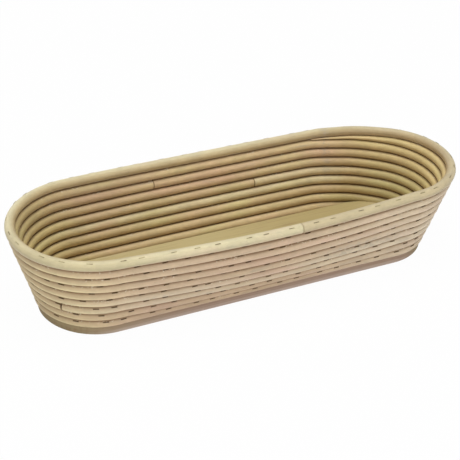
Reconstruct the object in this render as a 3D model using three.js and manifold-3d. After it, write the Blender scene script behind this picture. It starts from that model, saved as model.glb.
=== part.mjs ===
import * as THREE from 'three';
import { mergeVertices } from 'three/addons/utils/BufferGeometryUtils.js';
import Module from 'manifold-3d';

// A long proofing basket. Round peeled cane is wound in one rising spiral on a wooden board, in four lengths
// butted end to end, and a thicker cane closes the rim. Wire staples hold each turn to the one below.
// Millimetres, +Z up, +X along the basket, origin at the middle of the board's underside.

// Plan: the lowest turn's axis is a stadium, two straight sides and two half-round ends.
const HALF_STRAIGHT = 131.5; // half the length of a straight side
const FIRST_RADIUS = 47.4; // end radius of the lowest turn's axis

// Cane
const CANE_DIAMETER = 8;
const RIM_DIAMETER = 8.2;
const TURN_GAP = 0.55; // clear space between neighbouring turns
const TURNS = 8;
const TIP_THICKNESS = 1.2; // what is left at the tip of a pared cane end
const BUTT_GAP = 0.3; // clear space where two lengths of cane meet

// Lean of the wall out from upright, in degrees
const END_LEAN = 15.8; // where the straight sides meet the ends
const TIP_LEAN = 2.5; // added at the tips of the ends
const LOW_SIDE_LEAN = 18.5; // added at the middle of the sides, at the board
const HIGH_SIDE_LEAN = -9.9; // added at the middle of the sides, at the rim

// Places round the basket are distances along the lowest turn, from the middle of the back towards +X.
const CLIMB_FROM = 167; // where each turn starts to climb onto the next level
const CLIMB_LENGTH = 72;
const PARE_FROM = 226; // where the top turn starts to thin out under the rim
const PARE_LENGTH = 152;
const RIM_JOINT = 393; // where the ends of the rim cane meet, on the front
const BUTT_JOINTS = [
  { turn: 3, place: -238 },
  { turn: 5, place: 45.5 },
  { turn: 7, place: -52 },
];

// Board: a lip carries the lowest turn, and the floor stands up inside it.
const LIP_THICKNESS = 7.2;
const FLOOR_RISE = 4.8; // floor above the lip
const LIP_REACH = 1.2; // board edge beyond the lowest turn's axis
const SEAT_GAP = 0.3; // clearance between pieces that sit on or in each other

// Staples
const WIRE = 0.8;
const CROWN_WIDTH = 5;
const LEG_LENGTH = 12;
const STAPLES_TO_JOINT = 13; // on the rim, from the top turn's pared end to the rim's joint
const STAPLES_FROM_JOINT = 29; // and from there on round to the pared end's tip
const RIM_STRAY = 3.5; // how far rim staples stray from even spacing
const STAPLED_SHARE = 0.62; // the pared end is stapled where more than this share of its length is left
const RIM_CROWN_ANGLE = 60; // crown above the horizontal, on the rim's outer side
const BASE_STAPLES = 6;
const FIRST_BASE_STAPLE = 165; // place of the first base staple
const BASE_CROWN_ANGLE = 28;
const BASE_AIM_IN = 4; // legs aim at a point this far inside the lowest turn's axis
const BASE_AIM_DEPTH = 3; // and this far below the lip's upper face

// Facets
const SIDES = 6; // of a cane's section, with a corner up and a corner down
const ARC_STEPS = 10; // along a half-round end
const LEVEL_STEPS = 6; // along the back where the turns keep their level
const CLIMB_STEPS = 3; // and on from there to the right end, where they climb
const FRONT_STEPS = 4;
const WALL_STEPS = 24; // in the sum that follows the wall's lean
const LENGTH_SAMPLES = 400; // in the sum that measures the rim

const PITCH = CANE_DIAMETER + TURN_GAP;
const RIM_STEP = (CANE_DIAMETER + RIM_DIAMETER) / 2 + TURN_GAP;
const ARC_LENGTH = Math.PI * FIRST_RADIUS;
const LAP = 4 * HALF_STRAIGHT + 2 * ARC_LENGTH;
const FIRST_AXIS_HEIGHT = LIP_THICKNESS + SEAT_GAP + CANE_DIAMETER / 2;
const FLOOR_HEIGHT = LIP_THICKNESS + FLOOR_RISE;
const UP = new THREE.Vector3(0, 0, 1);

const { clamp, degToRad, euclideanModulo, smoothstep } = THREE.MathUtils;

const wasm = await Module();
wasm.setup();

// The stadium at a place: a point on it, its outward normal, and how near the middle of a side or the tip of
// an end the place is, from 0 to 1.
function planAt(place) {
  const along = euclideanModulo(place + HALF_STRAIGHT, LAP);
  const half = along < LAP / 2 ? 1 : -1; // the front and left end are the rest turned half round
  const run = along % (LAP / 2);
  const onSide = run < 2 * HALF_STRAIGHT;
  const x = onSide ? run - HALF_STRAIGHT : HALF_STRAIGHT;
  const turned = onSide ? 0 : (run - 2 * HALF_STRAIGHT) / FIRST_RADIUS;
  const out = new THREE.Vector3(Math.sin(turned), Math.cos(turned), 0);
  const point = new THREE.Vector3(x, 0, 0).addScaledVector(out, FIRST_RADIUS);
  return {
    point: point.multiplyScalar(half),
    out: out.clone().multiplyScalar(half),
    side: onSide ? 1 - (x / HALF_STRAIGHT) ** 2 : 0,
    tip: Math.sin(turned) ** 2,
  };
}

function leanAt(plan, level) {
  const share = (level - 1) / TURNS;
  const sideLean = LOW_SIDE_LEAN + (HIGH_SIDE_LEAN - LOW_SIDE_LEAN) * share;
  return degToRad(END_LEAN + plan.side * sideLean + plan.tip * TIP_LEAN);
}

// A point on the wall's middle surface. Level 1 is the lowest turn's axis, and each level above it is one
// pitch further up the leaning wall. Below level 1 the wall is upright.
function wallPoint(place, level) {
  const plan = planAt(place);
  const step = Math.max(level - 1, 0) / WALL_STEPS;
  let outward = 0;
  let upward = Math.min(level - 1, 0);
  for (let i = 0; i < WALL_STEPS; i++) {
    const lean = leanAt(plan, 1 + (i + 0.5) * step);
    outward += Math.sin(lean) * step;
    upward += Math.cos(lean) * step;
  }
  const point = plan.point.clone().addScaledVector(plan.out, outward * PITCH);
  point.z = FIRST_AXIS_HEIGHT + upward * PITCH;
  return { point, out: plan.out, lean: leanAt(plan, level) };
}

// How far a turn has climbed towards the next level, and how much of the pared top turn is left, at a place.
function climbShare(place) {
  return smoothstep(CLIMB_FROM - place, 0, CLIMB_LENGTH);
}

function pareShare(place) {
  return smoothstep(place, PARE_FROM - PARE_LENGTH, PARE_FROM);
}

function inverseSmoothstep(share) {
  return 0.5 - Math.sin(Math.asin(1 - 2 * share) / 3);
}

// A pared end's thickness where the given share of it is left. It keeps clear of the cane lying over it.
const PARE_CLEARANCE = 1.5 * TURN_GAP;

function paredThickness(share) {
  return CANE_DIAMETER * share - PARE_CLEARANCE * (1 - share);
}

const TIP_SHARE = (TIP_THICKNESS + PARE_CLEARANCE) / (CANE_DIAMETER + PARE_CLEARANCE);

// The spiral as a function of travel, the distance run along the lowest turn's plan since the first climb.
// It gives the cane's level and its thickness up the wall.
const SPIRAL_START = CLIMB_LENGTH * inverseSmoothstep(TIP_SHARE);
const PARE_START = TURNS * LAP + CLIMB_FROM - PARE_FROM;
const SPIRAL_END = PARE_START + PARE_LENGTH * (1 - inverseSmoothstep(TIP_SHARE));

function spiralAt(travel) {
  const place = CLIMB_FROM - travel;
  const lap = Math.floor(travel / LAP);
  const climbed = climbShare(place + lap * LAP);
  if (travel < CLIMB_LENGTH) {
    const thickness = paredThickness(climbed);
    return { place, thickness, level: 1 - (CANE_DIAMETER - thickness) / 2 / PITCH };
  }
  if (travel > PARE_START) {
    const topPlace = place + TURNS * LAP;
    const thickness = paredThickness(pareShare(topPlace));
    const below = TURNS - 1 + climbShare(topPlace);
    return { place, thickness, level: below + (CANE_DIAMETER / 2 + TURN_GAP + thickness / 2) / PITCH };
  }
  return { place, thickness: CANE_DIAMETER, level: lap + climbed };
}

// The rim lies on the top turn, and dips a little where that turn is pared.
function rimAt(place) {
  const nearest = euclideanModulo(place + LAP / 2, LAP) - LAP / 2;
  const under = Math.min(climbShare(nearest) + pareShare(nearest), 1);
  return { place, thickness: RIM_DIAMETER, level: TURNS - 1 + under + RIM_STEP / PITCH };
}

// Places of the cane's sections in one lap, so that the turns' facets lie over each other.
function lapPlaces() {
  const places = [];
  const addRun = (start, length, steps) => {
    for (let i = 0; i < steps; i++) places.push(start + (length * i) / steps);
  };
  const climbEnd = CLIMB_FROM - CLIMB_LENGTH;
  addRun(-HALF_STRAIGHT, HALF_STRAIGHT + climbEnd, LEVEL_STEPS);
  addRun(climbEnd, HALF_STRAIGHT - climbEnd, CLIMB_STEPS);
  addRun(HALF_STRAIGHT, ARC_LENGTH, ARC_STEPS);
  addRun(HALF_STRAIGHT + ARC_LENGTH, 2 * HALF_STRAIGHT, FRONT_STEPS);
  addRun(3 * HALF_STRAIGHT + ARC_LENGTH, ARC_LENGTH, ARC_STEPS);
  return places;
}

// The travels between two ends at which a cane has a section, both ends included.
function sectionsBetween(start, end, originPlace, direction) {
  const inner = [];
  const laps = Math.ceil((end - start) / LAP) + 1;
  for (const place of lapPlaces()) {
    const first = start + euclideanModulo((place - originPlace) * direction - start, LAP);
    for (let lap = 0; lap < laps; lap++) inner.push(first + lap * LAP);
  }
  const closest = TIP_THICKNESS;
  const kept = inner.filter((travel) => travel > start + closest && travel < end - closest);
  return [start, ...kept.sort((a, b) => a - b), end];
}

// A closed tube through sections that have a place, a level and a thickness up the wall, in order of place.
function caneGeometry(sections, width) {
  const positions = [];
  for (const section of sections) {
    const { point, out, lean } = wallPoint(section.place, section.level);
    const tilt = lean * clamp(section.level - 1, 0, 1);
    const across = out.clone().multiplyScalar(Math.cos(tilt)).addScaledVector(UP, -Math.sin(tilt));
    const upwards = out.clone().multiplyScalar(Math.sin(tilt)).addScaledVector(UP, Math.cos(tilt));
    for (let i = 0; i < SIDES; i++) {
      const angle = Math.PI * (0.5 + (2 * i) / SIDES);
      const corner = point.clone().addScaledVector(across, (width / 2) * Math.cos(angle));
      corner.addScaledVector(upwards, (section.thickness / 2) * Math.sin(angle));
      positions.push(corner.x, corner.y, corner.z);
    }
  }
  const index = [];
  const last = (sections.length - 1) * SIDES;
  for (let ring = 0; ring < last; ring += SIDES) {
    for (let i = 0; i < SIDES; i++) {
      const next = (i + 1) % SIDES;
      index.push(ring + i, ring + next, ring + SIDES + i);
      index.push(ring + next, ring + SIDES + next, ring + SIDES + i);
    }
  }
  for (let i = 1; i < SIDES - 1; i++) {
    index.push(0, i + 1, i);
    index.push(last, last + i, last + i + 1);
  }
  const geometry = new THREE.BufferGeometry();
  geometry.setAttribute('position', new THREE.Float32BufferAttribute(positions, 3));
  geometry.setIndex(index);
  return geometry;
}

function solidOf(geometry) {
  const bare = geometry.clone();
  bare.deleteAttribute('normal');
  bare.deleteAttribute('uv');
  const merged = mergeVertices(bare);
  return new wasm.Manifold(
    new wasm.Mesh({
      numProp: 3,
      vertProperties: new Float32Array(merged.attributes.position.array),
      triVerts: new Uint32Array(merged.index.array),
    }),
  );
}

function geometryOf(solid) {
  const { vertProperties, triVerts } = solid.getMesh();
  const geometry = new THREE.BufferGeometry();
  geometry.setAttribute('position', new THREE.BufferAttribute(vertProperties, 3));
  geometry.setIndex(new THREE.BufferAttribute(triVerts, 1));
  geometry.computeVertexNormals();
  return geometry;
}

function pierce(geometry, holes) {
  return geometryOf(holes.reduce((solid, hole) => solid.subtract(solidOf(hole)), solidOf(geometry)));
}

// A staple's frame: x along the cane, y out along the legs' line. The crown's underside clears a cane of the
// given radius, whose axis the legs may pass beside.
function stapleFrame(place, axis, radius, crownAngle, aim) {
  const { out } = planAt(place);
  const angle = degToRad(crownAngle);
  const crown = axis.clone().addScaledVector(out, radius * Math.cos(angle));
  crown.addScaledVector(UP, radius * Math.sin(angle));
  const outwards = crown.clone().sub(aim).normalize();
  const along = out.clone().cross(UP).cross(outwards).cross(outwards).normalize();
  const across = along.clone().cross(outwards);
  const beside = Math.max(Math.abs(crown.clone().sub(axis).dot(across)) - WIRE / 2, 0);
  const rise = Math.sqrt((radius + SEAT_GAP) ** 2 - beside ** 2);
  const top = crown.addScaledVector(outwards, rise + WIRE - crown.clone().sub(axis).dot(outwards));
  return new THREE.Matrix4().makeBasis(along, outwards, across).setPosition(top);
}

function stapleGeometry(frame) {
  const half = CROWN_WIDTH / 2;
  const outline = new THREE.Shape();
  outline.moveTo(-half, 0);
  outline.lineTo(-half, -WIRE - LEG_LENGTH);
  outline.lineTo(WIRE - half, -WIRE - LEG_LENGTH);
  outline.lineTo(WIRE - half, -WIRE);
  outline.lineTo(half - WIRE, -WIRE);
  outline.lineTo(half - WIRE, -WIRE - LEG_LENGTH);
  outline.lineTo(half, -WIRE - LEG_LENGTH);
  outline.lineTo(half, 0);
  const geometry = new THREE.ExtrudeGeometry(outline, { depth: WIRE, bevelEnabled: false });
  return geometry.translate(0, 0, -WIRE / 2).applyMatrix4(frame);
}

function legHoles(frame) {
  const bore = WIRE + 2 * SEAT_GAP;
  const depth = LEG_LENGTH + WIRE + 2 * SEAT_GAP;
  return [-1, 1].map((end) => {
    const hole = new THREE.BoxGeometry(bore, depth, bore);
    hole.translate((end * (CROWN_WIDTH - WIRE)) / 2, SEAT_GAP - depth / 2, 0);
    return hole.applyMatrix4(frame);
  });
}

// Places of a number of rim staples between two places, at near-even distances along the rim's own length.
function staplePlaces(from, to, count) {
  const lengths = [0];
  let previous = null;
  for (let i = 0; i <= LENGTH_SAMPLES; i++) {
    const place = from + ((to - from) * i) / LENGTH_SAMPLES;
    const { point } = wallPoint(place, rimAt(place).level);
    if (previous) lengths.push(lengths[i - 1] + point.distanceTo(previous));
    previous = point;
  }
  const total = lengths[LENGTH_SAMPLES];
  return Array.from({ length: count }, (_, k) => {
    const wanted = ((k + 0.5) * total) / count + RIM_STRAY * Math.sin(2.4 * k);
    const next = lengths.findIndex((length) => length > wanted);
    const share = (wanted - lengths[next - 1]) / (lengths[next] - lengths[next - 1]);
    return from + ((to - from) * (next - 1 + share)) / LENGTH_SAMPLES;
  });
}

// The rim staples keep off the thin part of the pared end and off the rim's joint.
function rimStaplePlaces() {
  const paredTip = PARE_FROM - PARE_LENGTH * (1 - inverseSmoothstep(TIP_SHARE));
  const start = PARE_FROM - PARE_LENGTH * (1 - STAPLED_SHARE);
  const end = paredTip - CROWN_WIDTH + LAP;
  return [
    ...staplePlaces(start, RIM_JOINT, STAPLES_TO_JOINT),
    ...staplePlaces(RIM_JOINT, end, STAPLES_FROM_JOINT),
  ];
}

function rimStapleFrame(place) {
  const { level } = rimAt(place);
  const axis = wallPoint(place, level).point;
  const aim = wallPoint(place, level - RIM_STEP / PITCH).point;
  return stapleFrame(place, axis, RIM_DIAMETER / 2, RIM_CROWN_ANGLE, aim);
}

function baseStapleFrame(place) {
  const { point, out } = wallPoint(place, 1);
  const aim = point.clone().addScaledVector(out, -BASE_AIM_IN);
  aim.z = LIP_THICKNESS - BASE_AIM_DEPTH;
  return stapleFrame(place, point, CANE_DIAMETER / 2, BASE_CROWN_ANGLE, aim);
}

function stadiumSlab(radius, height) {
  const outline = new THREE.Shape();
  outline.absarc(HALF_STRAIGHT, 0, radius, -Math.PI / 2, Math.PI / 2);
  outline.absarc(-HALF_STRAIGHT, 0, radius, Math.PI / 2, 1.5 * Math.PI);
  const slab = { depth: height, bevelEnabled: false, curveSegments: 2 * ARC_STEPS };
  return new THREE.ExtrudeGeometry(outline, slab);
}

function boardGeometry() {
  const lip = solidOf(stadiumSlab(FIRST_RADIUS + LIP_REACH, LIP_THICKNESS));
  const innerReach = (FIRST_RADIUS - CANE_DIAMETER / 2) * Math.cos(Math.PI / (2 * ARC_STEPS));
  const floorRadius = innerReach - SEAT_GAP; // inside the lowest turn's facets
  return geometryOf(lip.add(solidOf(stadiumSlab(floorRadius, FLOOR_HEIGHT))));
}

// The least clear space between turns that lie over each other, measured between the sections' middles.
function leastTurnGap() {
  const sections = sectionsBetween(SPIRAL_START, SPIRAL_END, CLIMB_FROM, -1).map((travel) => {
    const { place, level, thickness } = spiralAt(travel);
    return { travel, half: thickness / 2, point: wallPoint(place, level).point };
  });
  let least = Infinity;
  for (const low of sections) {
    for (const high of sections) {
      if (high.travel - low.travel < LAP / 2) continue;
      least = Math.min(least, high.point.distanceTo(low.point) - high.half - low.half);
    }
  }
  return least;
}

const materials = {
  cane: { color: 0xd2b68a, roughness: 0.6, metalness: 0 },
  rim: { color: 0xdfd0a4, roughness: 0.55, metalness: 0 },
  board: { color: 0xb9a06f, roughness: 0.75, metalness: 0 },
  wire: { color: 0x5b5048, roughness: 0.45, metalness: 0.9 },
};

const basket = new THREE.Group();

function addPiece(name, geometry, material) {
  const mesh = new THREE.Mesh(geometry, new THREE.MeshStandardMaterial(materials[material]));
  mesh.name = name;
  basket.add(mesh);
}

const rimFrames = rimStaplePlaces().map(rimStapleFrame);
const baseFrames = Array.from({ length: BASE_STAPLES }, (_, k) =>
  baseStapleFrame(FIRST_BASE_STAPLE + (LAP * k) / BASE_STAPLES),
);
const rimHoles = rimFrames.flatMap(legHoles);
const baseHoles = baseFrames.flatMap(legHoles);

addPiece('base_board', pierce(boardGeometry(), baseHoles), 'board');

const joints = BUTT_JOINTS.map(({ turn, place }) => (turn - 1) * LAP + CLIMB_FROM - place);
const caneStarts = [SPIRAL_START, ...joints.map((travel) => travel + BUTT_GAP / 2)];
const caneEnds = [...joints.map((travel) => travel - BUTT_GAP / 2), SPIRAL_END];
caneStarts.forEach((start, k) => {
  const sections = sectionsBetween(start, caneEnds[k], CLIMB_FROM, -1).map(spiralAt).reverse();
  const bottom = k === 0 ? baseHoles : [];
  const top = k === caneStarts.length - 1 ? rimHoles : [];
  const geometry = caneGeometry(sections, CANE_DIAMETER);
  addPiece(`spiral_cane_${k + 1}`, pierce(geometry, [...bottom, ...top]), 'cane');
});

const rimSections = sectionsBetween(BUTT_GAP / 2, LAP - BUTT_GAP / 2, RIM_JOINT, 1);
const rimGeometry = caneGeometry(rimSections.map((travel) => rimAt(RIM_JOINT + travel)), RIM_DIAMETER);
addPiece('rim_cane', pierce(rimGeometry, rimHoles), 'rim');

rimFrames.forEach((frame, k) => {
  addPiece(`rim_staple_${String(k + 1).padStart(2, '0')}`, stapleGeometry(frame), 'wire');
});
baseFrames.forEach((frame, k) => addPiece(`base_staple_${k + 1}`, stapleGeometry(frame), 'wire'));

console.log(`least gap between turns ${leastTurnGap().toFixed(2)} mm`);

export default basket;
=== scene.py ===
"""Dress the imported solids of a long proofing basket: a spiral of stapled cane on a wooden board."""

from math import asin, cos, pi, radians, sin

import bpy
import numpy as np
from bpy.props import FloatProperty, FloatVectorProperty, IntProperty, PointerProperty
from mathutils import Matrix, Vector


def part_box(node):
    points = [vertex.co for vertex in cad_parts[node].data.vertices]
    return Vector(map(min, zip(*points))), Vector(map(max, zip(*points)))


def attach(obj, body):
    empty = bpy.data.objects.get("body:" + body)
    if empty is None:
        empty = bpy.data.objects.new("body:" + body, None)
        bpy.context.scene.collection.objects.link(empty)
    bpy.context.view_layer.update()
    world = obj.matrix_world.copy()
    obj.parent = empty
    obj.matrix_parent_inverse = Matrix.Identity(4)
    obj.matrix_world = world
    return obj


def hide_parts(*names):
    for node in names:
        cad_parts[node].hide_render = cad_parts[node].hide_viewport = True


bl_info = {
    "name": "Proofing basket",
    "version": (1, 0, 0),
    "blender": (4, 5, 0),
    "location": "View3D > Sidebar > Basket",
    "description": "Makes a long cane proofing basket around its packed solids",
    "category": "Add Mesh",
}

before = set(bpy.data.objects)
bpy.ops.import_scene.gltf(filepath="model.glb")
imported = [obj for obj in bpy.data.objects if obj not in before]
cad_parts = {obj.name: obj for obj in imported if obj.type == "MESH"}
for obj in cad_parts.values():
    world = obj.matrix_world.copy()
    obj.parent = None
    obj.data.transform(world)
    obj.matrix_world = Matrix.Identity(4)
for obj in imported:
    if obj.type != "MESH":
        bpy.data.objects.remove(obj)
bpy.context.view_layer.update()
UP = np.array([0.0, 0.0, 1.0])
WALL_STEPS = 24  # in the sum that follows the wall's lean
BOARD_STEPS = 360  # round the board's edge
CORNER_STEPS = 5  # points of a rounded corner
CANE_SPACING, CANE_SIDES = 0.004, 24  # from a section of the spiral's cane to the next, and its corners
RIM_SPACING, RIM_SIDES = 0.0035, 28  # the same for the rim
END_ROUND, END_TAPER = 0.0005, 0.12  # length of a cut end's rounding, and the share of the cane it takes off
END_STAIN = 0.0004  # length of a cut end's stain
STAPLE_CORNERS = 8  # of a staple's outline
CROWN_TURN = 5  # the turn whose staples' crown angle is given
TURN_SAMPLES, LAP_SAMPLES = 6000, 4000  # of the paths on which staples are placed
FLOOR_SPAN = 4  # from the stage's middle to the sides of its floor
SLOW_WAVE, QUICK_WAVE = 0.190, 0.067  # lengths of the waves of a cane's unevenness
SEEN_RAYS = ("Is Camera Ray", "Is Glossy Ray", "Is Transmission Ray")

# Turn, place and gap of each joint between two lengths of cane.
BUTT_JOINTS = ((3, -0.238, 0.0009), (5, 0.0455, 0.0004), (7, -0.052, 0.0003))

# Width, height, place and target of each lamp.
LAMPS = {
    "key": (1.2, 1.2, (-0.05, -0.08, 1.7), (0, 0, 0.04)),
    "fill": (1.8, 0.5, (0.1, -1.5, 0.25), (0, 0, 0.04)),
    "back": (1.8, 0.5, (-0.6, 1.4, 0.7), (0, 0, 0.06)),
    "side": (0.8, 0.5, (-1.5, -0.5, 0.5), (0, 0, 0.04)),
}


def length(name, description, default):
    """A size in metres."""
    return FloatProperty(name=name, description=description, default=default, unit="LENGTH", precision=5)


def angle(name, description, degrees):
    """An angle, written in degrees and kept in radians."""
    return FloatProperty(name=name, description=description, default=radians(degrees), subtype="ANGLE")


def share(name, description, default):
    """A number from 0 to 1."""
    return FloatProperty(name=name, description=description, default=default, subtype="FACTOR", min=0, max=1)


def power(name, description, default):
    """A lamp's power in watts."""
    return FloatProperty(name=name, description=description, default=default, subtype="POWER")


def colour(name, description, default):
    """A linear colour."""
    labels = {"name": name, "description": description, "subtype": "COLOR"}
    return FloatVectorProperty(**labels, default=default, min=0, max=1)


class BasketSizes(bpy.types.PropertyGroup):
    """Sizes of the wall, the cane, the board and the staples."""

    half_straight: length("Half straight", "Half the length of a straight side", 0.1315)
    first_radius: length("First radius", "End radius of the lowest turn's axis", 0.0474)
    first_height: length("First height", "Height of the lowest turn's axis", 0.0115)
    turns: IntProperty(name="Turns", description="Turns of the spiral", default=8)
    pitch: length("Pitch", "Distance from a turn to the next, up the wall", 0.00855)
    end_lean: angle("End lean", "Lean of the wall where the sides meet the ends", 15.8)
    tip_lean: angle("Tip lean", "Lean added at the tips of the ends", 2.5)
    low_side_lean: angle("Low side lean", "Lean added at the middle of the sides, at the board", 18.5)
    high_side_lean: angle("High side lean", "Lean added at the middle of the sides, at the rim", -9.9)
    cane: length("Cane", "Diameter of the spiral's cane", 0.00875)
    rim: length("Rim", "Diameter of the rim's cane", 0.0084)
    rim_step: length("Rim step", "Distance from the top turn's axis to the rim's", 0.0084)
    cane_sway: length("Cane sway", "How far the spiral's cane sways in and out", 0.00022)
    cane_uneven: share("Cane unevenness", "How much the spiral's cane thins out in places", 0.01)
    rim_uneven: share("Rim unevenness", "How much the rim's cane thins out in places", 0.005)
    tip: length("Tip", "What is left at the tip of a pared cane end", 0.0009)
    climb_from: length("Climb from", "Place where each turn starts to climb", 0.167)
    climb_length: length("Climb length", "Length over which a turn climbs one level", 0.072)
    pare_from: length("Pare from", "Place where the top turn starts to thin out", 0.226)
    pare_length: length("Pare length", "Length of the top turn's pared end", 0.152)
    rim_joint: length("Rim joint", "Place where the ends of the rim meet", 0.393)
    rim_gap: length("Rim gap", "Clear space where the ends of the rim meet", 0.0002)
    floor_height: length("Floor height", "Height of the board's floor", 0.012)
    lip_height: length("Lip height", "Thickness of the board's lip", 0.0072)
    lip_reach: length("Lip reach", "Board edge beyond the lowest turn's axis", 0.0012)
    floor_inset: length("Floor inset", "Floor's edge inside the lowest turn's axis", 0.0046)
    edge_round: length("Edge round", "Rounding of the board's edges", 0.0006)
    wire: length("Wire", "Thickness of the staple wire", 0.0007)
    crown: length("Crown", "Width of a staple's crown", 0.0048)
    leg: length("Leg", "Length of a staple's legs", 0.011)
    sunk: length("Sunk", "How deep a staple's crown is pressed into the cane", 0.0005)
    staple_gap: length("Staple gap", "Usual distance between the staples of a turn", 0.0215)
    staple_stray: length("Staple stray", "How far staples stray from even distances", 0.004)
    turn_crown: angle("Turn crown", "Fifth turn's staples' crown, up from the turn's outer side", 58)
    crown_rise: angle("Crown rise", "How much further up the crowns lie from each turn to the next", 2.5)
    crown_stray: angle("Crown stray", "How far a turn staple's crown strays from its usual place", 6)
    rim_crown: angle("Rim crown", "Rim staples' crown, above the horizontal", 60)
    back_drop: angle("Back drop", "How much lower the rim staples' crowns lie at the back", 14)
    base_crown: angle("Base crown", "Base staples' crown, up from the turn's outer side", 46)
    first_base: length("First base staple", "Place of the lowest turn's first staple", 0.165)
    base_count: IntProperty(name="Base staples", description="Staples of the lowest turn", default=42)


class BasketColours(bpy.types.PropertyGroup):
    """Colours of the cane, the board and the wire."""

    cane_1: colour("First length", "Lowest length of cane", (0.60, 0.45, 0.30))
    cane_2: colour("Second length", "Second length of cane", (0.70, 0.59, 0.425))
    cane_3: colour("Third length", "Third length of cane", (0.63, 0.48, 0.33))
    cane_4: colour("Fourth length", "Top length of cane", (0.65, 0.50, 0.34))
    rim: colour("Rim", "Cane of the rim", (0.565, 0.50, 0.31))
    # Also painted shade on the rim's lower outer side.
    blush_and_shade: colour("Blush", "Rosy stretches of the cane", (0.64, 0.44, 0.33))
    straw: colour("Straw", "Straw-yellow stretches of the cane and the floor", (0.62, 0.53, 0.31))
    # The inner tints make the inside of the basket yellower, and darker as painted shade.
    inner_low: colour("Inner low", "Tint of the cane inside the basket, near the board", (0.94, 0.965, 0.71))
    inner_high: colour("Inner high", "Tint of the cane inside the basket, near the rim", (0.93, 0.88, 0.70))
    inner_end: colour("Inner end", "Tint of the cane inside the basket's ends", (0.94, 0.93, 0.78))
    # Painted shadow of the rim on the inner side, high up on the left.
    inner_left: colour("Inner left", "Tint of the inner side high up on the left", (0.70, 0.70, 0.68))
    # Painted shade low down inside the right end.
    inner_right: colour("Inner right", "Tint of the inner side low down at the right end", (0.66, 0.64, 0.58))
    # Painted light on the outer side of the left end, making it brighter and yellower.
    painted_left_light: colour("Sunned", "Outer side of the end that stood in the sun", (0.85, 0.745, 0.39))
    rim_straw: colour("Rim straw", "Straw-yellow stretch of the rim", (0.50, 0.43, 0.25))
    rim_end: colour("Rim end", "Darker end of the rim", (0.445, 0.365, 0.215))
    # Painted shade on the rim's inner side.
    rim_inner: colour("Rim inner", "Tint of the rim's inner side", (0.76, 0.66, 0.55))
    # Painted shade on the flanks of the cane towards the grooves, where the turns shade each other.
    shaded: colour("Shaded", "Browned sides of the cane, towards the grooves", (0.40, 0.27, 0.17))
    smudge: colour("Smudge", "Grey handling marks", (0.36, 0.31, 0.24))
    # Also painted shade where the turns touch and under the rim's inner side, together with a real stain.
    groove: colour("Groove", "Stain where turns touch, in pores and on cut ends", (0.18, 0.095, 0.04))
    floor: colour("Floor", "Board's upper face", (0.42, 0.335, 0.15))
    veneer: colour("Veneer", "Paler stretch of the floor", (0.49, 0.405, 0.20))
    edge: colour("Edge", "Board's edge", (0.35, 0.25, 0.19))
    end_grain: colour("End grain", "Board's edge at its ends and in darker stretches", (0.32, 0.25, 0.14))
    # Painted light thrown up from the white floor onto the foot of the board's edge.
    foot: colour("Foot", "Worn foot of the board's edge", (0.62, 0.50, 0.43))
    # Also painted light that makes the outer side paler towards the right.
    fray_and_light: colour("Fray", "Loose pale fibres in the grooves, and the pale outer right", (0.72, 0.66, 0.50))
    grain: colour("Grain", "Darker grain of the board", (0.25, 0.15, 0.08))
    rim_wire: colour("Rim wire", "Staple wire on the rim", (0.32, 0.275, 0.155))
    rim_rust: colour("Rim rust", "Rusty patches on the rim's wire", (0.19, 0.15, 0.08))
    wire: colour("Wire", "Staple wire", (0.13, 0.085, 0.04))
    rust: colour("Rust", "Rusty patches on the wire", (0.08, 0.042, 0.016))


class BasketStage(bpy.types.PropertyGroup):
    """Camera, light and floor."""

    azimuth: angle("Azimuth", "Camera's turn round the basket", -28.26)
    elevation: angle("Elevation", "Camera's height over the horizon", 31.457)
    roll: angle("Roll", "Camera's turn about its own axis", 2.959)
    distance: length("Distance", "From the camera to its target", 1.16985)
    target: FloatVectorProperty(
        name="Target",
        description="Point the camera looks at",
        default=(0.00035, 0.01692, 0.02903),
        subtype="XYZ",
    )
    lens: FloatProperty(name="Lens", description="Focal length in millimetres", default=105.1)
    shift: FloatVectorProperty(name="Shift", description="Lens shift", default=(-0.0003, -0.0023), size=2)
    ambient: FloatProperty(name="Ambient", description="Strength of the light from all round", default=0.25)
    key: power("Key", "Power of the large light overhead", 24.5)
    fill: power("Fill", "Power of the low light in front", 12)
    back: power("Back", "Power of the light behind", 6)
    side: power("Side", "Power of the light on the left", 4)
    floor_glow: share("Floor glow", "How much of the floor's white is its own", 0.98)


def smoothstep(value, low, high):
    """0 below low, 1 above high, and 3t² - 2t³ between."""
    t = np.clip((value - low) / (high - low), 0, 1)
    return t * t * (3 - 2 * t)


def lap_length(sizes):
    """Length of the lowest turn's axis: two straight sides and two half circles."""
    return 4 * sizes.half_straight + 2 * pi * sizes.first_radius


def plan(sizes, place):
    """The stadium at distances along it from the middle of the back towards +X.

    Gives points, outward normals, and how near each is to the middle of a side and to the tip of an end.
    """
    lap = lap_length(sizes)
    along = (place + sizes.half_straight) % lap
    half = np.where(along < lap / 2, 1.0, -1.0)
    run = along % (lap / 2)
    on_side = run < 2 * sizes.half_straight
    x = np.where(on_side, run - sizes.half_straight, sizes.half_straight)
    turned = np.where(on_side, 0, (run - 2 * sizes.half_straight) / sizes.first_radius)
    out = np.stack([np.sin(turned), np.cos(turned), 0 * turned], axis=-1)
    point = out * sizes.first_radius + x[:, None] * np.array([1.0, 0.0, 0.0])
    side = np.where(on_side, 1 - (x / sizes.half_straight) ** 2, 0)
    return point * half[:, None], out * half[:, None], side, np.sin(turned) ** 2


def lean_at(sizes, side, tip, level):
    """Lean of the wall: an even change up the sides, and a little more at the tips."""
    risen = (level - 1) / sizes.turns
    side_lean = sizes.low_side_lean + (sizes.high_side_lean - sizes.low_side_lean) * risen
    return sizes.end_lean + side * side_lean + tip * sizes.tip_lean


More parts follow.
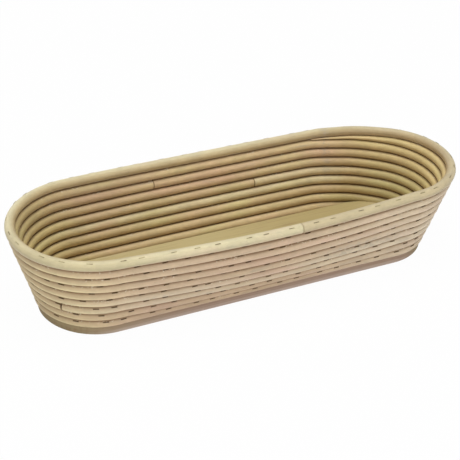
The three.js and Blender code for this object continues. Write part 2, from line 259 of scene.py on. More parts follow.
def wall(sizes, place, level):
    """Points on the wall's middle surface, with the two directions of a cane's section there.

    Each is the stadium's point moved out and up by the pitch times the sums of the lean's sine and cosine
    over the levels above the first. The section's directions are across the wall and up along it.
    """
    point, out, side, tip = plan(sizes, place)
    climbed = np.maximum(level - 1, 0)
    middles = (np.arange(WALL_STEPS) + 0.5) / WALL_STEPS
    lean = lean_at(sizes, side[:, None], tip[:, None], 1 + climbed[:, None] * middles)
    outward = climbed * np.sin(lean).mean(axis=1)
    upward = climbed * np.cos(lean).mean(axis=1) + np.minimum(level - 1, 0)
    point = point + out * (outward * sizes.pitch)[:, None]
    point[:, 2] = sizes.first_height + upward * sizes.pitch
    tilt = (lean_at(sizes, side, tip, level) * np.clip(2 * level - 1, 0, 1))[:, None]
    across = out * np.cos(tilt) - UP * np.sin(tilt)
    upwards = out * np.sin(tilt) + UP * np.cos(tilt)
    return point, across, upwards


def climb_share(sizes, place):
    """How far a turn has climbed to the next level."""
    return smoothstep(sizes.climb_from - place, 0, sizes.climb_length)


def pare_share(sizes, place):
    """How much of the top turn's pared end is left."""
    return smoothstep(place, sizes.pare_from - sizes.pare_length, sizes.pare_from)


def inverse_smoothstep(value):
    """The t whose smoothstep is the value: 1/2 - sin(asin(1 - 2·value) / 3)."""
    return 0.5 - sin(asin(1 - 2 * value) / 3)


def spiral_ends(sizes):
    """Travels of the spiral's two tips, and the travel where its top end starts to thin out."""
    tip = inverse_smoothstep(sizes.tip / sizes.cane)
    pare_start = sizes.turns * lap_length(sizes) + sizes.climb_from - sizes.pare_from
    return sizes.climb_length * tip, pare_start + sizes.pare_length * (1 - tip), pare_start


def spiral(sizes, travel):
    """Places, levels and thicknesses of the spiral at travels along the lowest turn's plan.

    The level rises by a smoothstep once a lap. The first climb is the bottom end's wedge, which lies on the
    board, and the top end's wedge lies on the turn below it.
    """
    lap = lap_length(sizes)
    _, _, pare_start = spiral_ends(sizes)
    place = sizes.climb_from - travel
    laps = np.floor(travel / lap)
    climbed = climb_share(sizes, place + laps * lap)
    top_place = place + sizes.turns * lap
    bottom_end = travel < sizes.climb_length
    top_end = travel > pare_start
    left = np.where(bottom_end, climbed, np.where(top_end, pare_share(sizes, top_place), 1))
    thickness = sizes.cane * left
    below = sizes.turns - 1 + climb_share(sizes, top_place)
    top_level = below + (sizes.pitch + thickness - sizes.cane) / 2 / sizes.pitch + 0.5
    bottom_level = 1 - (sizes.cane - thickness) / 2 / sizes.pitch
    level = np.where(bottom_end, bottom_level, np.where(top_end, top_level, laps + climbed))
    return place, level, thickness


def rim_level(sizes, place):
    """Level of the rim, which lies on the top turn and dips where that turn is pared."""
    lap = lap_length(sizes)
    nearest = (place + lap / 2) % lap - lap / 2
    under = np.minimum(climb_share(sizes, nearest) + pare_share(sizes, nearest), 1)
    return sizes.turns - 1 + under + sizes.rim_step / sizes.pitch


def rim_path(sizes, place):
    """Path of the rim."""
    return wall(sizes, place, rim_level(sizes, place))


def sway(length_along, size, phase):
    """Slow unevenness along a cane, up to a size to either side: two sines of different wavelengths."""
    slow = np.sin(2 * pi * length_along / SLOW_WAVE + phase)
    quick = np.sin(2 * pi * length_along / QUICK_WAVE + 2.3 * phase)
    return size * (0.65 * slow + 0.35 * quick)


def thinned(length_along, uneven, phase):
    """A cane's thickness at lengths along it, as a share of its full thickness."""
    return 1 - uneven + sway(length_along, uneven, phase)


def cane_path(sizes, number, travel, place, level):
    """Path of one of the spiral's lengths of cane, which sways a little in and out of the wall."""
    centre, across, upwards = wall(sizes, place, level)
    return centre + across * sway(travel, sizes.cane_sway, 1.9 * number)[:, None], across, upwards


def lowest_turn(sizes, place):
    """Path of the lowest turn, which is part of the first length of cane."""
    travel = (sizes.climb_from - place) % lap_length(sizes)
    return cane_path(sizes, 1, travel, place, np.ones(len(place)))


def wrapped_grid(rows, columns):
    """Quads between neighbouring rows of a grid whose columns close on themselves, and a face on each end."""
    row, column = np.mgrid[0 : rows - 1, 0:columns]
    following = (column + 1) % columns
    corners = [row * columns + column, row * columns + following]
    corners += [(row + 1) * columns + following, (row + 1) * columns + column]
    quads = np.stack(corners, axis=-1).reshape(-1, 4).tolist()
    last = (rows - 1) * columns
    return [*quads, list(range(columns))[::-1], list(range(last, last + columns))]


def make_piece(name, vertices, faces, material, attributes=None, sharp=50):
    """A mesh object that rides on the basket's body, smooth but for edges sharper than some degrees."""
    mesh = bpy.data.meshes.new(name)
    mesh.from_pydata(vertices.tolist(), [], faces)
    for key, values in (attributes or {}).items():
        kind, field = ("FLOAT_VECTOR", "vector") if values.ndim == 2 else ("FLOAT", "value")
        mesh.attributes.new(key, kind, "POINT").data.foreach_set(field, values.astype(np.float32).ravel())
    mesh.polygons.foreach_set("use_smooth", np.ones(len(faces), dtype=bool))
    mesh.set_sharp_from_angle(angle=radians(sharp))
    mesh.materials.append(material)
    mesh.validate()
    piece = bpy.data.objects.new(name, mesh)
    bpy.context.scene.collection.objects.link(piece)
    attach(piece, "root")
    return piece


def lengths_along(points):
    """Length along a path from its first point to each of its points."""
    steps = np.linalg.norm(np.diff(points, axis=0), axis=1)
    return np.concatenate([[0.0], np.cumsum(steps)])


def cane_surface(path, width, thickness, sides):
    """A cane carried along a path: at each step an ellipse round the centre, with its ends a little rounded.

    Gives the vertices, the faces and, for the material, each vertex's length along the cane and its two
    offsets in the section, and how near it is to a cut end.
    """
    centre, across, upwards = path
    along = lengths_along(centre)
    from_end = np.minimum(along, along[-1] - along)
    rounded = 1 - END_TAPER * np.clip(1 - from_end / END_ROUND, 0, 1) ** 2
    turned = 2 * pi * np.arange(sides) / sides - pi / 2
    beside = (width * rounded)[:, None] / 2 * np.cos(turned)
    above = (thickness * rounded)[:, None] / 2 * np.sin(turned)
    vertices = centre[:, None] + across[:, None] * beside[..., None] + upwards[:, None] * above[..., None]
    space = np.stack([np.broadcast_to(along[:, None], beside.shape), beside, above], axis=-1)
    cut = np.broadcast_to(np.clip(1 - from_end / END_STAIN, 0, 1)[:, None], beside.shape)
    attributes = {"cane_space": space.reshape(-1, 3), "cut": cut.ravel()}
    return vertices.reshape(-1, 3), wrapped_grid(len(centre), sides), attributes


def stations(start, end, spacing):
    """Values from start to end about a spacing apart, with a few more for the rounding of both ends."""
    close = END_ROUND * np.array([0.2, 0.5, 1.0])
    even = np.linspace(start, end, int((end - start) / spacing) + 2)
    return np.unique(np.concatenate([even, start + close, end - close]))


class Socket:
    """A node's output. Arithmetic on it adds Math nodes, and node adds any other node to the same tree."""

    def __init__(self, tree, socket=None):
        self.tree = tree
        self.socket = socket

    def node(self, kind, settings=None, inputs=None, output=0):
        """Add a node of a type, with its settings first and then its sockets' values or links."""
        node = self.tree.nodes.new(kind)
        for name, value in (settings or {}).items():
            setattr(node, name, value)
        for name, value in (inputs or {}).items():
            if isinstance(value, Socket):
                self.tree.links.new(value.socket, node.inputs[name])
            else:
                node.inputs[name].default_value = value
        return Socket(self.tree, node.outputs[output] if node.outputs else None)

    def math(self, operation, *terms):
        """The result of a Math node on sockets and numbers."""
        return self.node("ShaderNodeMath", {"operation": operation}, dict(enumerate(terms)))

    def __add__(self, other):
        return self.math("ADD", self, other)

    def __sub__(self, other):
        return self.math("SUBTRACT", self, other)

    def __mul__(self, other):
        return self.math("MULTIPLY", self, other)

    def __rsub__(self, other):
        return self.math("SUBTRACT", other, self)

    def __neg__(self):
        return 0 - self

    def __abs__(self):
        return self.math("ABSOLUTE", self)

    __radd__ = __add__
    __rmul__ = __mul__

    def stretched(self, *scales):
        """A vector multiplied by a scale on each axis."""
        return self.node("ShaderNodeVectorMath", {"operation": "MULTIPLY"}, {0: self, 1: scales})

    def moved(self, *offsets):
        """A vector with an offset added on each axis."""
        return self.node("ShaderNodeVectorMath", {"operation": "ADD"}, {0: self, 1: offsets})

    def part(self, axis):
        """One axis of a vector."""
        return self.node("ShaderNodeSeparateXYZ", None, {0: self}, axis)

    def noise(self, detail=2.0, roughness=0.5):
        """Noise at a vector, from 0 to 1 with its middle at a half."""
        inputs = {"Vector": self, "Scale": 1, "Detail": detail, "Roughness": roughness}
        return self.node("ShaderNodeTexNoise", None, inputs)

    def ramp(self, low, high):
        """0 below low, 1 above high, smooth between."""
        settings = {"interpolation_type": "SMOOTHSTEP"}
        return self.node("ShaderNodeMapRange", settings, {"Value": self, "From Min": low, "From Max": high})

    def between(self, rise_low, rise_high, fall_low, fall_high):
        """Rises from 0 to 1 and then falls back to 0, smoothly."""
        return self.ramp(rise_low, rise_high) * (1 - self.ramp(fall_low, fall_high))

    def attribute(self, name, output="Fac"):
        """One of the mesh's own attributes."""
        return self.node("ShaderNodeAttribute", {"attribute_name": name}, None, output)

    def flat(self, values):
        """One colour all over."""
        made = self.node("ShaderNodeRGB")
        made.socket.default_value = (*values, 1.0)
        return made

    def mix(self, factor, other, blend="MIX"):
        """This colour blended with another one, which is a socket or three numbers."""
        settings = {"data_type": "RGBA", "blend_type": blend}
        second = other if isinstance(other, Socket) else (*other, 1.0)
        return self.node("ShaderNodeMix", settings, {0: factor, 6: self, 7: second}, 2)


def new_material(name):
    """An empty material, and a socket to build its tree from."""
    material = bpy.data.materials.new(name)
    material.use_nodes = True
    material.node_tree.nodes.clear()
    return material, Socket(material.node_tree)


def close_material(shade, shader):
    """Send a shader to the material's output."""
    shade.node("ShaderNodeOutputMaterial", None, {"Surface": shader})


def close_surface(shade, inputs, relief, strength, depth):
    """Send a Principled surface with a bump relief to the material's output."""
    bump = shade.node("ShaderNodeBump", None, {"Strength": strength, "Distance": depth, "Height": relief})
    close_material(shade, shade.node("ShaderNodeBsdfPrincipled", None, {**inputs, "Normal": bump}))


def rim_tone(tone, colours, along, height, outer, at_end):
    """The rim: a straw-yellow stretch, a darker end, painted shade inside and a rosy painted shade below."""
    below = -height
    tone = tone.mix(along.between(0.10, 0.17, 0.24, 0.32) * 0.8, colours.rim_straw)
    tone = tone.mix(along.ramp(0.52, 0.78) * 0.8, colours.rim_end)
    # Painted shade: the rim's inner side darker, its lower inner side darkest, and its lower outer side
    # rosier and darker.
    tone = tone.mix(1 - outer, colours.rim_inner, "MULTIPLY")
    tone = tone.mix(below.ramp(-0.0010, 0.0035) * outer * 0.4, colours.blush_and_shade)
    return tone.mix(below.ramp(-0.0020, 0.0035) * (1 - outer) * (0.45 - at_end * 0.25), colours.groove)


def spiral_tone(tone, colours, x, z, height, outer, at_end):
    """The spiral: painted light on the outer side to the right, a tinted inner side and painted shade on
    flanks.
    """
    inner = 1 - outer
    risen = z.ramp(0.02, 0.06)
    # Towards the left end, where painted light brightens the outer side.
    painted_left_light = (-x).ramp(0.10, 0.20) * 0.7
    # Towards the right, where painted light pales the outer side and the painted shade is weaker.
    pale = x.ramp(-0.02, 0.16)
    # Where the rim's painted shadow falls inside, high up on the left.
    high_left = z.ramp(0.045, 0.07) * (-x).ramp(0, 0.13)
    tone = tone.mix(at_end * inner * 0.65, colours.straw)
    # Painted light: the outer side brighter and yellower at the left end, and paler to the right.
    tone = tone.mix(painted_left_light * outer, colours.painted_left_light)
    tone = tone.mix(pale * outer * 0.4, colours.fray_and_light)
    # The inner side: yellower, and darkened with painted shade, with a painted shadow of the rim high up on
    # the left and painted shade low down inside the right end.
    tint = tone.flat(colours.inner_low)
    tint = tint.mix(risen, colours.inner_high)
    tint = tint.mix(at_end, colours.inner_end, "MULTIPLY")
    tint = tint.mix(high_left, colours.inner_left, "MULTIPLY")
    tint = tint.mix(at_end * pale * (1 - risen), colours.inner_right, "MULTIPLY")
    tone = tone.mix(inner * 0.85, tint, "MULTIPLY")
    # Painted shade: the upper side of each outer turn under the turn above it, more at the left end and less
    # on the right, and the lower side of each inner turn.
    overhang_shade = 0.58 + painted_left_light * 0.3 - pale * 0.25
    tone = tone.mix(height.ramp(-0.0030, 0.0042) * outer * overhang_shade, colours.shaded)
    return tone.mix((-height).ramp(-0.0012, 0.0042) * inner * 0.5, colours.shaded)


def cane_material(name, base, colours, seed, on_rim=False):
    """Peeled cane: straw and rosy stretches, fine long fibres, dark pores, grey smudges and darkened grooves.

    Grooves hold stain and painted shade. The rim is smoother and less rosy, with a groove only under it.
    """
    rosy, stained_cut, rough, gloss = (0.25, 0.15, 0.40, 0.45) if on_rim else (0.7, 0.7, 0.50, 0.35)
    material, shade = new_material(name)
    cut = shade.attribute("cut")
    space = shade.attribute("cane_space", "Vector")
    along, across, height = (space.part(axis) for axis in "XYZ")
    place = shade.node("ShaderNodeTexCoord", None, None, "Object")
    x, y, z = (place.part(axis) for axis in "XYZ")
    at_end = abs(x).ramp(0.11, 0.18)

    # A grey mark across the upper turns at the back, and a scuff along the outer side on the right.
    mark = (0.006 - abs(x - 0.118)).ramp(0, 0.005) * y.ramp(0, 0.01) * z.ramp(0.02, 0.06)
    scuff = x.between(0.02, 0.07, 0.10, 0.15) * z.between(0.029, 0.033, 0.041, 0.046)

    # Patterns drawn out along the cane, from slow changes to fine specks.
    shifted = space.moved(3.7 * seed, 0, 0)
    drift = shifted.stretched(17, 75, 75).noise(2.0)
    patch = shifted.stretched(41, 60, 60).moved(9.1, 4.2, 1.7).noise(2.0)
    smudge = shifted.stretched(28, 190, 190).moved(1.3, 7.7, 3.1).noise(3.0, 0.6)
    mottle = shifted.stretched(210, 330, 330).moved(8.3, 2.9, 6.4).noise(3.0, 0.6)
    fibre = shifted.stretched(55, 2300, 2300).noise(3.0, 0.65)
    fine = shifted.stretched(180, 5200, 5200).noise(2.0)
    pores = shifted.stretched(420, 2400, 2400).moved(5, 8, 2).noise(1.0).ramp(0.70, 0.82)
    specks = shifted.stretched(800, 800, 800).moved(2.2, 6.1, 4.8).noise(1.0)

    outer = across.ramp(-0.0052, -0.0006) if on_rim else across.ramp(-0.0020, 0.0035)
    tone = shade.flat(base)
    tone = tone.mix(drift.ramp(0.50, 0.72) * rosy, colours.blush_and_shade)
    tone = tone.mix((1 - drift).ramp(0.50, 0.72) * (0.7 - outer * 0.45), colours.straw)
    if on_rim:
        tone = rim_tone(tone, colours, along, height, outer, at_end)
    else:
        tone = spiral_tone(tone, colours, x, z, height, outer, at_end)
    streak = (fibre - 0.5) * 0.30 + (fine - 0.5) * 0.18 + (patch - 0.5) * 0.32 + (mottle - 0.5) * 0.28 + 1
    grey = shade.node("ShaderNodeCombineXYZ", None, {0: streak, 1: streak, 2: streak})
    tone = tone.mix(1.0, grey, "MULTIPLY")
    tone = tone.mix(smudge.ramp(0.60, 0.76) * 0.42, colours.smudge)
    tone = tone.mix(mark * mottle.ramp(0.42, 0.60) * 0.5, colours.smudge)
    tone = tone.mix(scuff * mottle.ramp(0.40, 0.60) * outer * 0.5, colours.smudge)
    tone = tone.mix(pores * 0.45, colours.groove)

    # Stain and painted shade towards the grooves, loose fibres there, and stain on the cut ends.
    reach = -height if on_rim else abs(height)
    stain_and_shade = reach.ramp(0.0025, 0.0041) * (0.70 + (patch - 0.5) * 0.5)
    frayed = specks.ramp(0.60, 0.70) * reach.ramp(0.0020, 0.0032) * patch.ramp(0.51, 0.59)
    tone = tone.mix(stain_and_shade, colours.groove)
    tone = tone.mix(frayed * 0.7, colours.fray_and_light)
    tone = tone.mix(cut * stained_cut, colours.groove)
    roughness = rough + fibre * 0.14 + smudge.ramp(0.6, 0.8) * 0.12
    relief = fibre * 0.7 + fine * 0.3 - pores * 0.5 + frayed * 0.6
    inputs = {"Base Color": tone, "Roughness": roughness, "Specular IOR Level": gloss}
    close_surface(shade, inputs, relief, 0.35, 0.00025)
    return material


def board_material(name, colours):
    """Plywood board: long grain on the floor, and darker edges with end grain at the ends."""
    material, shade = new_material(name)
    edge = shade.attribute("edge")
    end = shade.attribute("end")
    place = shade.node("ShaderNodeTexCoord", None, None, "Object")
    leftwards = -place.part("X")
    # Painted light from the floor, strongest at the foot of the edge.
    floor_bounce = (0.0055 - place.part("Z")).ramp(0, 0.005)
    figure = place.stretched(7, 95, 60).noise(3.0, 0.6)
    grain = place.stretched(24, 900, 900).noise(3.0, 0.6)
    hatch = place.stretched(60, 520, 260).noise(2.0)
    plies = place.stretched(3, 3, 620).noise(1.0)
    tone = shade.flat(colours.floor)
    tone = tone.mix(leftwards.ramp(-0.10, 0.04), colours.veneer)
    tone = tone.mix(figure.ramp(0.50, 0.75) * 0.35, colours.straw)
    tone = tone.mix(edge, colours.edge)
    tone = tone.mix(edge * end.ramp(0.1, 0.6), colours.end_grain)
    tone = tone.mix(edge * leftwards.ramp(0.05, 0.16) * 0.7, colours.end_grain)
    tone = tone.mix(edge * figure.ramp(0.45, 0.70) * 0.3, colours.end_grain)
    # Painted light from the floor on the foot of the edge, weaker at the ends.
    tone = tone.mix(edge * floor_bounce * (0.55 - end * 0.9), colours.foot)
    tone = tone.mix(grain.ramp(0.50, 0.80) * (1 - end * edge) * 0.45, colours.grain)
    tone = tone.mix(hatch.ramp(0.50, 0.66) * end * edge * 0.55, colours.grain)
    tone = tone.mix(plies.ramp(0.50, 0.66) * edge * 0.4, colours.grain)
    inputs = {"Base Color": tone, "Roughness": 0.62 + grain * 0.2, "Specular IOR Level": 0.3}
    close_surface(shade, inputs, grain * (1 - end) + hatch * end, 0.3, 0.0003)
    return material


def wire_material(name, clean, rusty):
    """Dull staple wire of one colour with rusty patches of another."""
    material, shade = new_material(name)
    place = shade.node("ShaderNodeTexCoord", None, None, "Object")
    rust = place.stretched(160, 160, 160).noise(2.0).ramp(0.42, 0.62)
    scratch = place.stretched(2600, 2600, 2600).noise(2.0)
    tone = shade.flat(clean).mix(rust, rusty)
    inputs = {"Base Color": tone, "Metallic": 0.75 - rust * 0.5, "Roughness": 0.42 + rust * 0.3}
    close_surface(shade, inputs, scratch, 0.2, 0.0001)
    return material


def seen_directly(shade):
    """1 on rays that show a surface, and 0 on those that only bring light from it."""
    camera, glossy, through = (shade.node("ShaderNodeLightPath", None, None, key) for key in SEEN_RAYS)
    return camera + glossy + through


def floor_material(name, glow):
    """White floor, mostly its own white to the camera, the rest lit so that it keeps the basket's shadow."""
    material, shade = new_material(name)
    lit = shade.node("ShaderNodeBsdfDiffuse", None, {"Color": (0.65, 0.65, 0.65, 1)})
    white = shade.node("ShaderNodeEmission", None, {"Color": (1, 1, 1, 1), "Strength": 1.0})
    mixed = shade.node("ShaderNodeMixShader", None, {0: seen_directly(shade) * glow, 1: lit, 2: white})
    close_material(shade, mixed)
    return material


def white_world(ambient):
    """Even light from all round, seen as white."""
    world = bpy.data.worlds.new("studio_white")
    world.use_nodes = True
    world.node_tree.nodes.clear()
    shade = Socket(world.node_tree)
    strength = ambient + seen_directly(shade) * (1 - ambient)
    glow = shade.node("ShaderNodeBackground", None, {"Color": (1, 1, 1, 1), "Strength": strength})
    shade.node("ShaderNodeOutputWorld", None, {"Surface": glow})
    bpy.context.scene.world = world


def add_lamp(name, watts, width, height, place, target):
    """A soft rectangular light at a place, facing a target."""
    lamp = bpy.data.lights.new(name, "AREA")
    lamp.shape = "RECTANGLE"
    lamp.energy = watts
    lamp.size = width
    lamp.size_y = height
    holder = bpy.data.objects.new(name, lamp)
    facing = (Vector(target) - Vector(place)).to_track_quat("-Z", "Y")
    holder.matrix_world = Matrix.Translation(place) @ facing.to_matrix().to_4x4()
    bpy.context.scene.collection.objects.link(holder)


def camera_axes(stage):
    """The camera's right, up and back directions from its azimuth, elevation and roll."""
    azimuth, elevation = stage.azimuth, stage.elevation
    back = Vector((sin(azimuth) * cos(elevation), -cos(azimuth) * cos(elevation), sin(elevation)))
    right = Vector((cos(azimuth), sin(azimuth), 0))
    up = back.cross(right)
    rolled_right = right * cos(stage.roll) + up * sin(stage.roll)
    rolled_up = up * cos(stage.roll) - right * sin(stage.roll)
    return rolled_right, rolled_up, back


class BASKET_OT_board(bpy.types.Operator):
    """Make the wooden board with its lip and raised floor"""

    bl_idname = "basket.board"
    bl_label = "Board"

    def execute(self, context):
        sizes = context.scene.basket_sizes
        place = np.linspace(0, lap_length(sizes), BOARD_STEPS, endpoint=False)
        point, out, _, _ = plan(sizes, place)
        soft = sizes.edge_round
        rise = np.linspace(0, pi / 2, CORNER_STEPS)
        fall = rise[::-1]
        # Middles and angles of the edge's three rounded corners, from the floor down to the underside.
        rounds = [
            (-sizes.floor_inset - soft, sizes.floor_height - soft, fall),
            (sizes.lip_reach - soft, sizes.lip_height - soft, fall),
            (sizes.lip_reach - soft, soft, -rise),
        ]
        corners = [(x + soft * np.cos(turned), z + soft * np.sin(turned)) for x, z, turned in rounds]
        rebate = ([-sizes.floor_inset], [sizes.lip_height])
        under = ([-sizes.lip_reach], [0.0])
        rows = [corners[0], rebate, corners[1], corners[2], under]
        offset = np.concatenate([row[0] for row in rows])
        height = np.concatenate([row[1] for row in rows])
        vertices = point[None] + out[None] * offset[:, None, None] + UP * height[:, None, None]
        # The floor's own corner and the underside are faces of the board, and the rest is its edge.
        on_edge = np.arange(len(offset)) >= CORNER_STEPS
        on_edge[-1] = False
        edge = np.broadcast_to(on_edge[:, None], (len(offset), len(place)))
        end = np.broadcast_to(np.abs(out[:, 0]), edge.shape)
        material = board_material("board_wood", context.scene.basket_colours)
        faces = wrapped_grid(len(offset), len(place))
        attributes = {"edge": edge.astype(float).ravel(), "end": end.ravel()}
        piece = make_piece("board", vertices.reshape(-1, 3), faces, material, attributes, sharp=35)
        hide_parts("base_board")
        return {"FINISHED"}


class BASKET_OT_spiral(bpy.types.Operator):
    """Make the four lengths of cane wound in a spiral"""

    bl_idname = "basket.spiral"
    bl_label = "Spiral"

    def execute(self, context):
        sizes = context.scene.basket_sizes
        colours = context.scene.basket_colours
        start, end, _ = spiral_ends(sizes)
        lap = lap_length(sizes)
        joints = [((turn - 1) * lap + sizes.climb_from - place, gap / 2) for turn, place, gap in BUTT_JOINTS]
        starts = [start, *(joint + half for joint, half in joints)]
        ends = [*(joint - half for joint, half in joints), end]
        bases = [colours.cane_1, colours.cane_2, colours.cane_3, colours.cane_4]
        for k, (low, high, base) in enumerate(zip(starts, ends, bases), 1):
            travel = stations(low, high, CANE_SPACING)[::-1]
            place, level, thickness = spiral(sizes, travel)
            path = cane_path(sizes, k, travel, place, level)
            slim = thinned(travel, sizes.cane_uneven, 0.7 * k)
            vertices, faces, attributes = cane_surface(path, sizes.cane * slim, thickness * slim, CANE_SIDES)
            material = cane_material(f"peeled_cane_{k}", base, colours, k)
            piece = make_piece(f"cane_{k}", vertices, faces, material, attributes)
            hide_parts(f"spiral_cane_{k}")
        return {"FINISHED"}


class BASKET_OT_rim(bpy.types.Operator):
    """Make the cane that closes the rim"""

    bl_idname = "basket.rim"
    bl_label = "Rim"

    def execute(self, context):
        sizes = context.scene.basket_sizes
        colours = context.scene.basket_colours
        gap = sizes.rim_gap / 2
        place = sizes.rim_joint + stations(gap, lap_length(sizes) - gap, RIM_SPACING)
        width = sizes.rim * thinned(place, sizes.rim_uneven, 0.4)
        vertices, faces, attributes = cane_surface(rim_path(sizes, place), width, width, RIM_SIDES)
        material = cane_material("rim_cane", colours.rim, colours, 7, on_rim=True)
        piece = make_piece("rim", vertices, faces, material, attributes)
        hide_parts("rim_cane")
        return {"FINISHED"}


def staple_outline(sizes):
    """Corners of a staple, a U of square wire: x along the crown, y out along the legs, z across the wire."""
    half, wire, leg = sizes.crown / 2, sizes.wire, sizes.leg
    x = np.array([-half, -half, wire - half, wire - half, half - wire, half - wire, half, half])
    y = np.array([0, -leg, -leg, -wire, -wire, -leg, -leg, 0])
    flat = np.stack([x, y, 0 * x], axis=-1)
    return np.concatenate([flat - UP * wire / 2, flat + UP * wire / 2])


def staple_faces(count):
    """Faces of each of a number of staples: the strips round the U, and its two sides."""
    ring = np.arange(STAPLE_CORNERS)
    following = (ring + 1) % STAPLE_CORNERS
    strips = np.stack([ring, ring + STAPLE_CORNERS, following + STAPLE_CORNERS, following], axis=-1)
    faces = []
    for first in 2 * STAPLE_CORNERS * np.arange(count):
        faces += (first + strips).tolist()
        faces += [(first + ring[::-1]).tolist(), (first + ring + STAPLE_CORNERS).tolist()]
    return faces


def staple_piece(name, sizes, path, radius, turned, material):
    """Staples on a cane at places of its path, their crowns turned up from its outer side by given angles.

    Each crown is sunk in the cane, nearly flush, and its legs point down along the wall.
    """
    centre, across, upwards = path
    outward = across * np.cos(turned)[:, None] + upwards * np.sin(turned)[:, None]
    crown = centre + outward * (radius + sizes.wire - sizes.sunk)
    legs = crown - (centre - upwards * sizes.pitch)
    legs /= np.linalg.norm(legs, axis=1)[:, None]
    tangent = np.cross(across, upwards)
    axes = np.stack([tangent, legs, np.cross(tangent, legs)], axis=1)
    vertices = np.einsum("vc,kcd->kvd", staple_outline(sizes), axes) + crown[:, None]
    return make_piece(name, vertices.reshape(-1, 3), staple_faces(len(crown)), material, sharp=30)


def packed_nodes(start):
    """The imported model's nodes whose names begin with a word."""
    nodes = [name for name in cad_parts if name.startswith(start)]
    if not nodes:
        raise RuntimeError(f"the packed model has no {start}")
    return nodes


def packed_staples(name, sizes, nodes, path, turned, radius, material):
    """Staples at the points of a path that are nearest, seen from above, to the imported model's."""
    boxes = [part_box(node) for node in nodes]
    middles = np.array([(np.array(low) + np.array(high)) / 2 for low, high in boxes])
    away = np.linalg.norm(path[0][None, :, :2] - middles[:, None, :2], axis=-1)
    chosen = away.argmin(axis=1)
    path = [values[chosen] for values in path]
    piece = staple_piece(name, sizes, path, radius, turned[chosen], material)
    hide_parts(*nodes)


class BASKET_OT_staples(bpy.types.Operator):
    """Make the staples that hold the rim, the turns and the board together"""

    bl_idname = "basket.staples"
    bl_label = "Staples"

    def execute(self, context):
        sizes = context.scene.basket_sizes
        colours = context.scene.basket_colours
        rusty = wire_material("rusty_wire", colours.wire, colours.rust)
        bright = wire_material("rim_wire", colours.rim_wire, colours.rim_rust)
        self.turn_staples(sizes, rusty)
        self.rim_staples(sizes, bright)
        self.base_staples(sizes, rusty)
        return {"FINISHED"}

    def turn_staples(self, sizes, material):
        """Staples of all turns but the lowest, at uneven distances."""
        _, _, pare_start = spiral_ends(sizes)
        travel = np.linspace(lap_length(sizes), pare_start, TURN_SAMPLES)
        place, level, _ = spiral(sizes, travel)
        path = wall(sizes, place, level)
        along = lengths_along(path[0])
        order = np.arange(int(along[-1] / sizes.staple_gap))
        # Sines of the staples' order stand in for chance.
        stray = sizes.staple_stray * (np.sin(2.7 * order) + 0.5 * np.sin(7.9 * order))
        chosen = np.searchsorted(along, (order + 0.5) * sizes.staple_gap + stray).clip(1, len(along) - 2)
        turned = sizes.turn_crown + sizes.crown_rise * (level[chosen] - CROWN_TURN)
        turned = turned + sizes.crown_stray * np.sin(5.3 * order)
        path = [values[chosen] for values in path]
        staple_piece("turn_staples", sizes, path, sizes.cane / 2, turned, material)

    def rim_staples(self, sizes, material):
        """Staples of the rim, whose crowns lie lower at the back."""
        path = rim_path(sizes, np.linspace(0, lap_length(sizes), LAP_SAMPLES))
        at_back = smoothstep(path[0][:, 1], 0, 0.03)
        turned = sizes.rim_crown - np.arcsin(path[1][:, 2]) - sizes.back_drop * at_back
        nodes = packed_nodes("rim_staple")
        packed_staples("rim_staples", sizes, nodes, path, turned, sizes.rim / 2, material)

    def base_staples(self, sizes, material):
        """Staples of the lowest turn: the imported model's, and those between them."""
        nodes = packed_nodes("base_staple")
        path = lowest_turn(sizes, np.linspace(0, lap_length(sizes), LAP_SAMPLES))
        turned = np.full(len(path[0]), sizes.base_crown)
        packed_staples("base_staples", sizes, nodes, path, turned, sizes.cane / 2, material)
        order = np.arange(sizes.base_count)
        order = order[order % (sizes.base_count // len(nodes)) > 0]
        place = sizes.first_base + order * lap_length(sizes) / sizes.base_count
        path = lowest_turn(sizes, place + sizes.staple_stray * np.sin(3.1 * order))
        turned = np.full(len(order), sizes.base_crown)
        staple_piece("further_base_staples", sizes, path, sizes.cane / 2, turned, material)


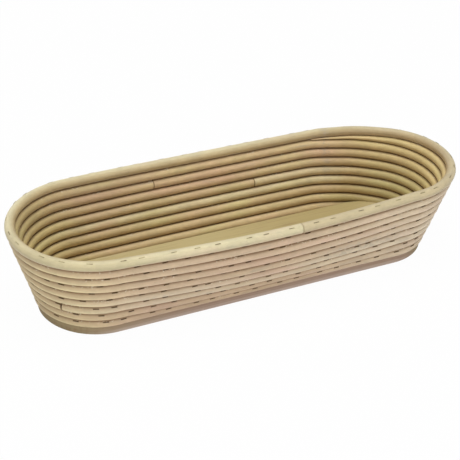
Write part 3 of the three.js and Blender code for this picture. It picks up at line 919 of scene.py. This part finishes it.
class BASKET_OT_stage(bpy.types.Operator):
    """Make the floor, the light and the camera"""

    bl_idname = "basket.stage"
    bl_label = "Stage"

    def execute(self, context):
        scene = context.scene
        stage = scene.basket_stage
        scene.view_settings.view_transform = "Standard"
        corners = FLOOR_SPAN * np.array([[-1.0, -1, 0], [1, -1, 0], [1, 1, 0], [-1, 1, 0]])
        mesh = bpy.data.meshes.new("floor")
        mesh.from_pydata(corners.tolist(), [], [[0, 1, 2, 3]])
        mesh.materials.append(floor_material("floor_white", stage.floor_glow))
        floor = bpy.data.objects.new("floor", mesh)
        scene.collection.objects.link(floor)
        white_world(stage.ambient)
        for name, lamp in LAMPS.items():
            add_lamp(name, getattr(stage, name), *lamp)
        right, up, back = camera_axes(stage)
        camera = bpy.data.cameras.new("camera")
        camera.sensor_width = 36  # millimetres, as the lens
        camera.lens = stage.lens
        camera.shift_x, camera.shift_y = stage.shift
        holder = bpy.data.objects.new("camera", camera)
        place = Vector(stage.target) + back * stage.distance
        turned = Matrix((right, up, back)).transposed().to_4x4()
        holder.matrix_world = Matrix.Translation(place) @ turned
        scene.collection.objects.link(holder)
        scene.camera = holder
        return {"FINISHED"}


OPERATORS = (BASKET_OT_board, BASKET_OT_spiral, BASKET_OT_rim, BASKET_OT_staples, BASKET_OT_stage)


class BASKET_PT_sidebar(bpy.types.Panel):
    """List the basket's pieces"""

    bl_idname = "BASKET_PT_sidebar"
    bl_label = "Proofing basket"
    bl_space_type = "VIEW_3D"
    bl_region_type = "UI"
    bl_category = "Basket"

    def draw(self, context):
        for operator in OPERATORS:
            self.layout.operator(operator.bl_idname)
        for group in (context.scene.basket_sizes, context.scene.basket_colours, context.scene.basket_stage):
            box = self.layout.box()
            for name in group.__annotations__:
                box.prop(group, name)


GROUPS = {"basket_sizes": BasketSizes, "basket_colours": BasketColours, "basket_stage": BasketStage}


def register():
    for group in (*GROUPS.values(), *OPERATORS, BASKET_PT_sidebar):
        bpy.utils.register_class(group)
    for name, group in GROUPS.items():
        setattr(bpy.types.Scene, name, PointerProperty(type=group))


def unregister():
    for name in GROUPS:
        delattr(bpy.types.Scene, name)
    for group in (BASKET_PT_sidebar, *reversed(OPERATORS), *reversed(GROUPS.values())):
        bpy.utils.unregister_class(group)


def main():
    register()
    bpy.ops.basket.board()
    bpy.ops.basket.spiral()
    bpy.ops.basket.rim()
    bpy.ops.basket.staples()
    bpy.ops.basket.stage()


if __name__ == "__main__":
    main()
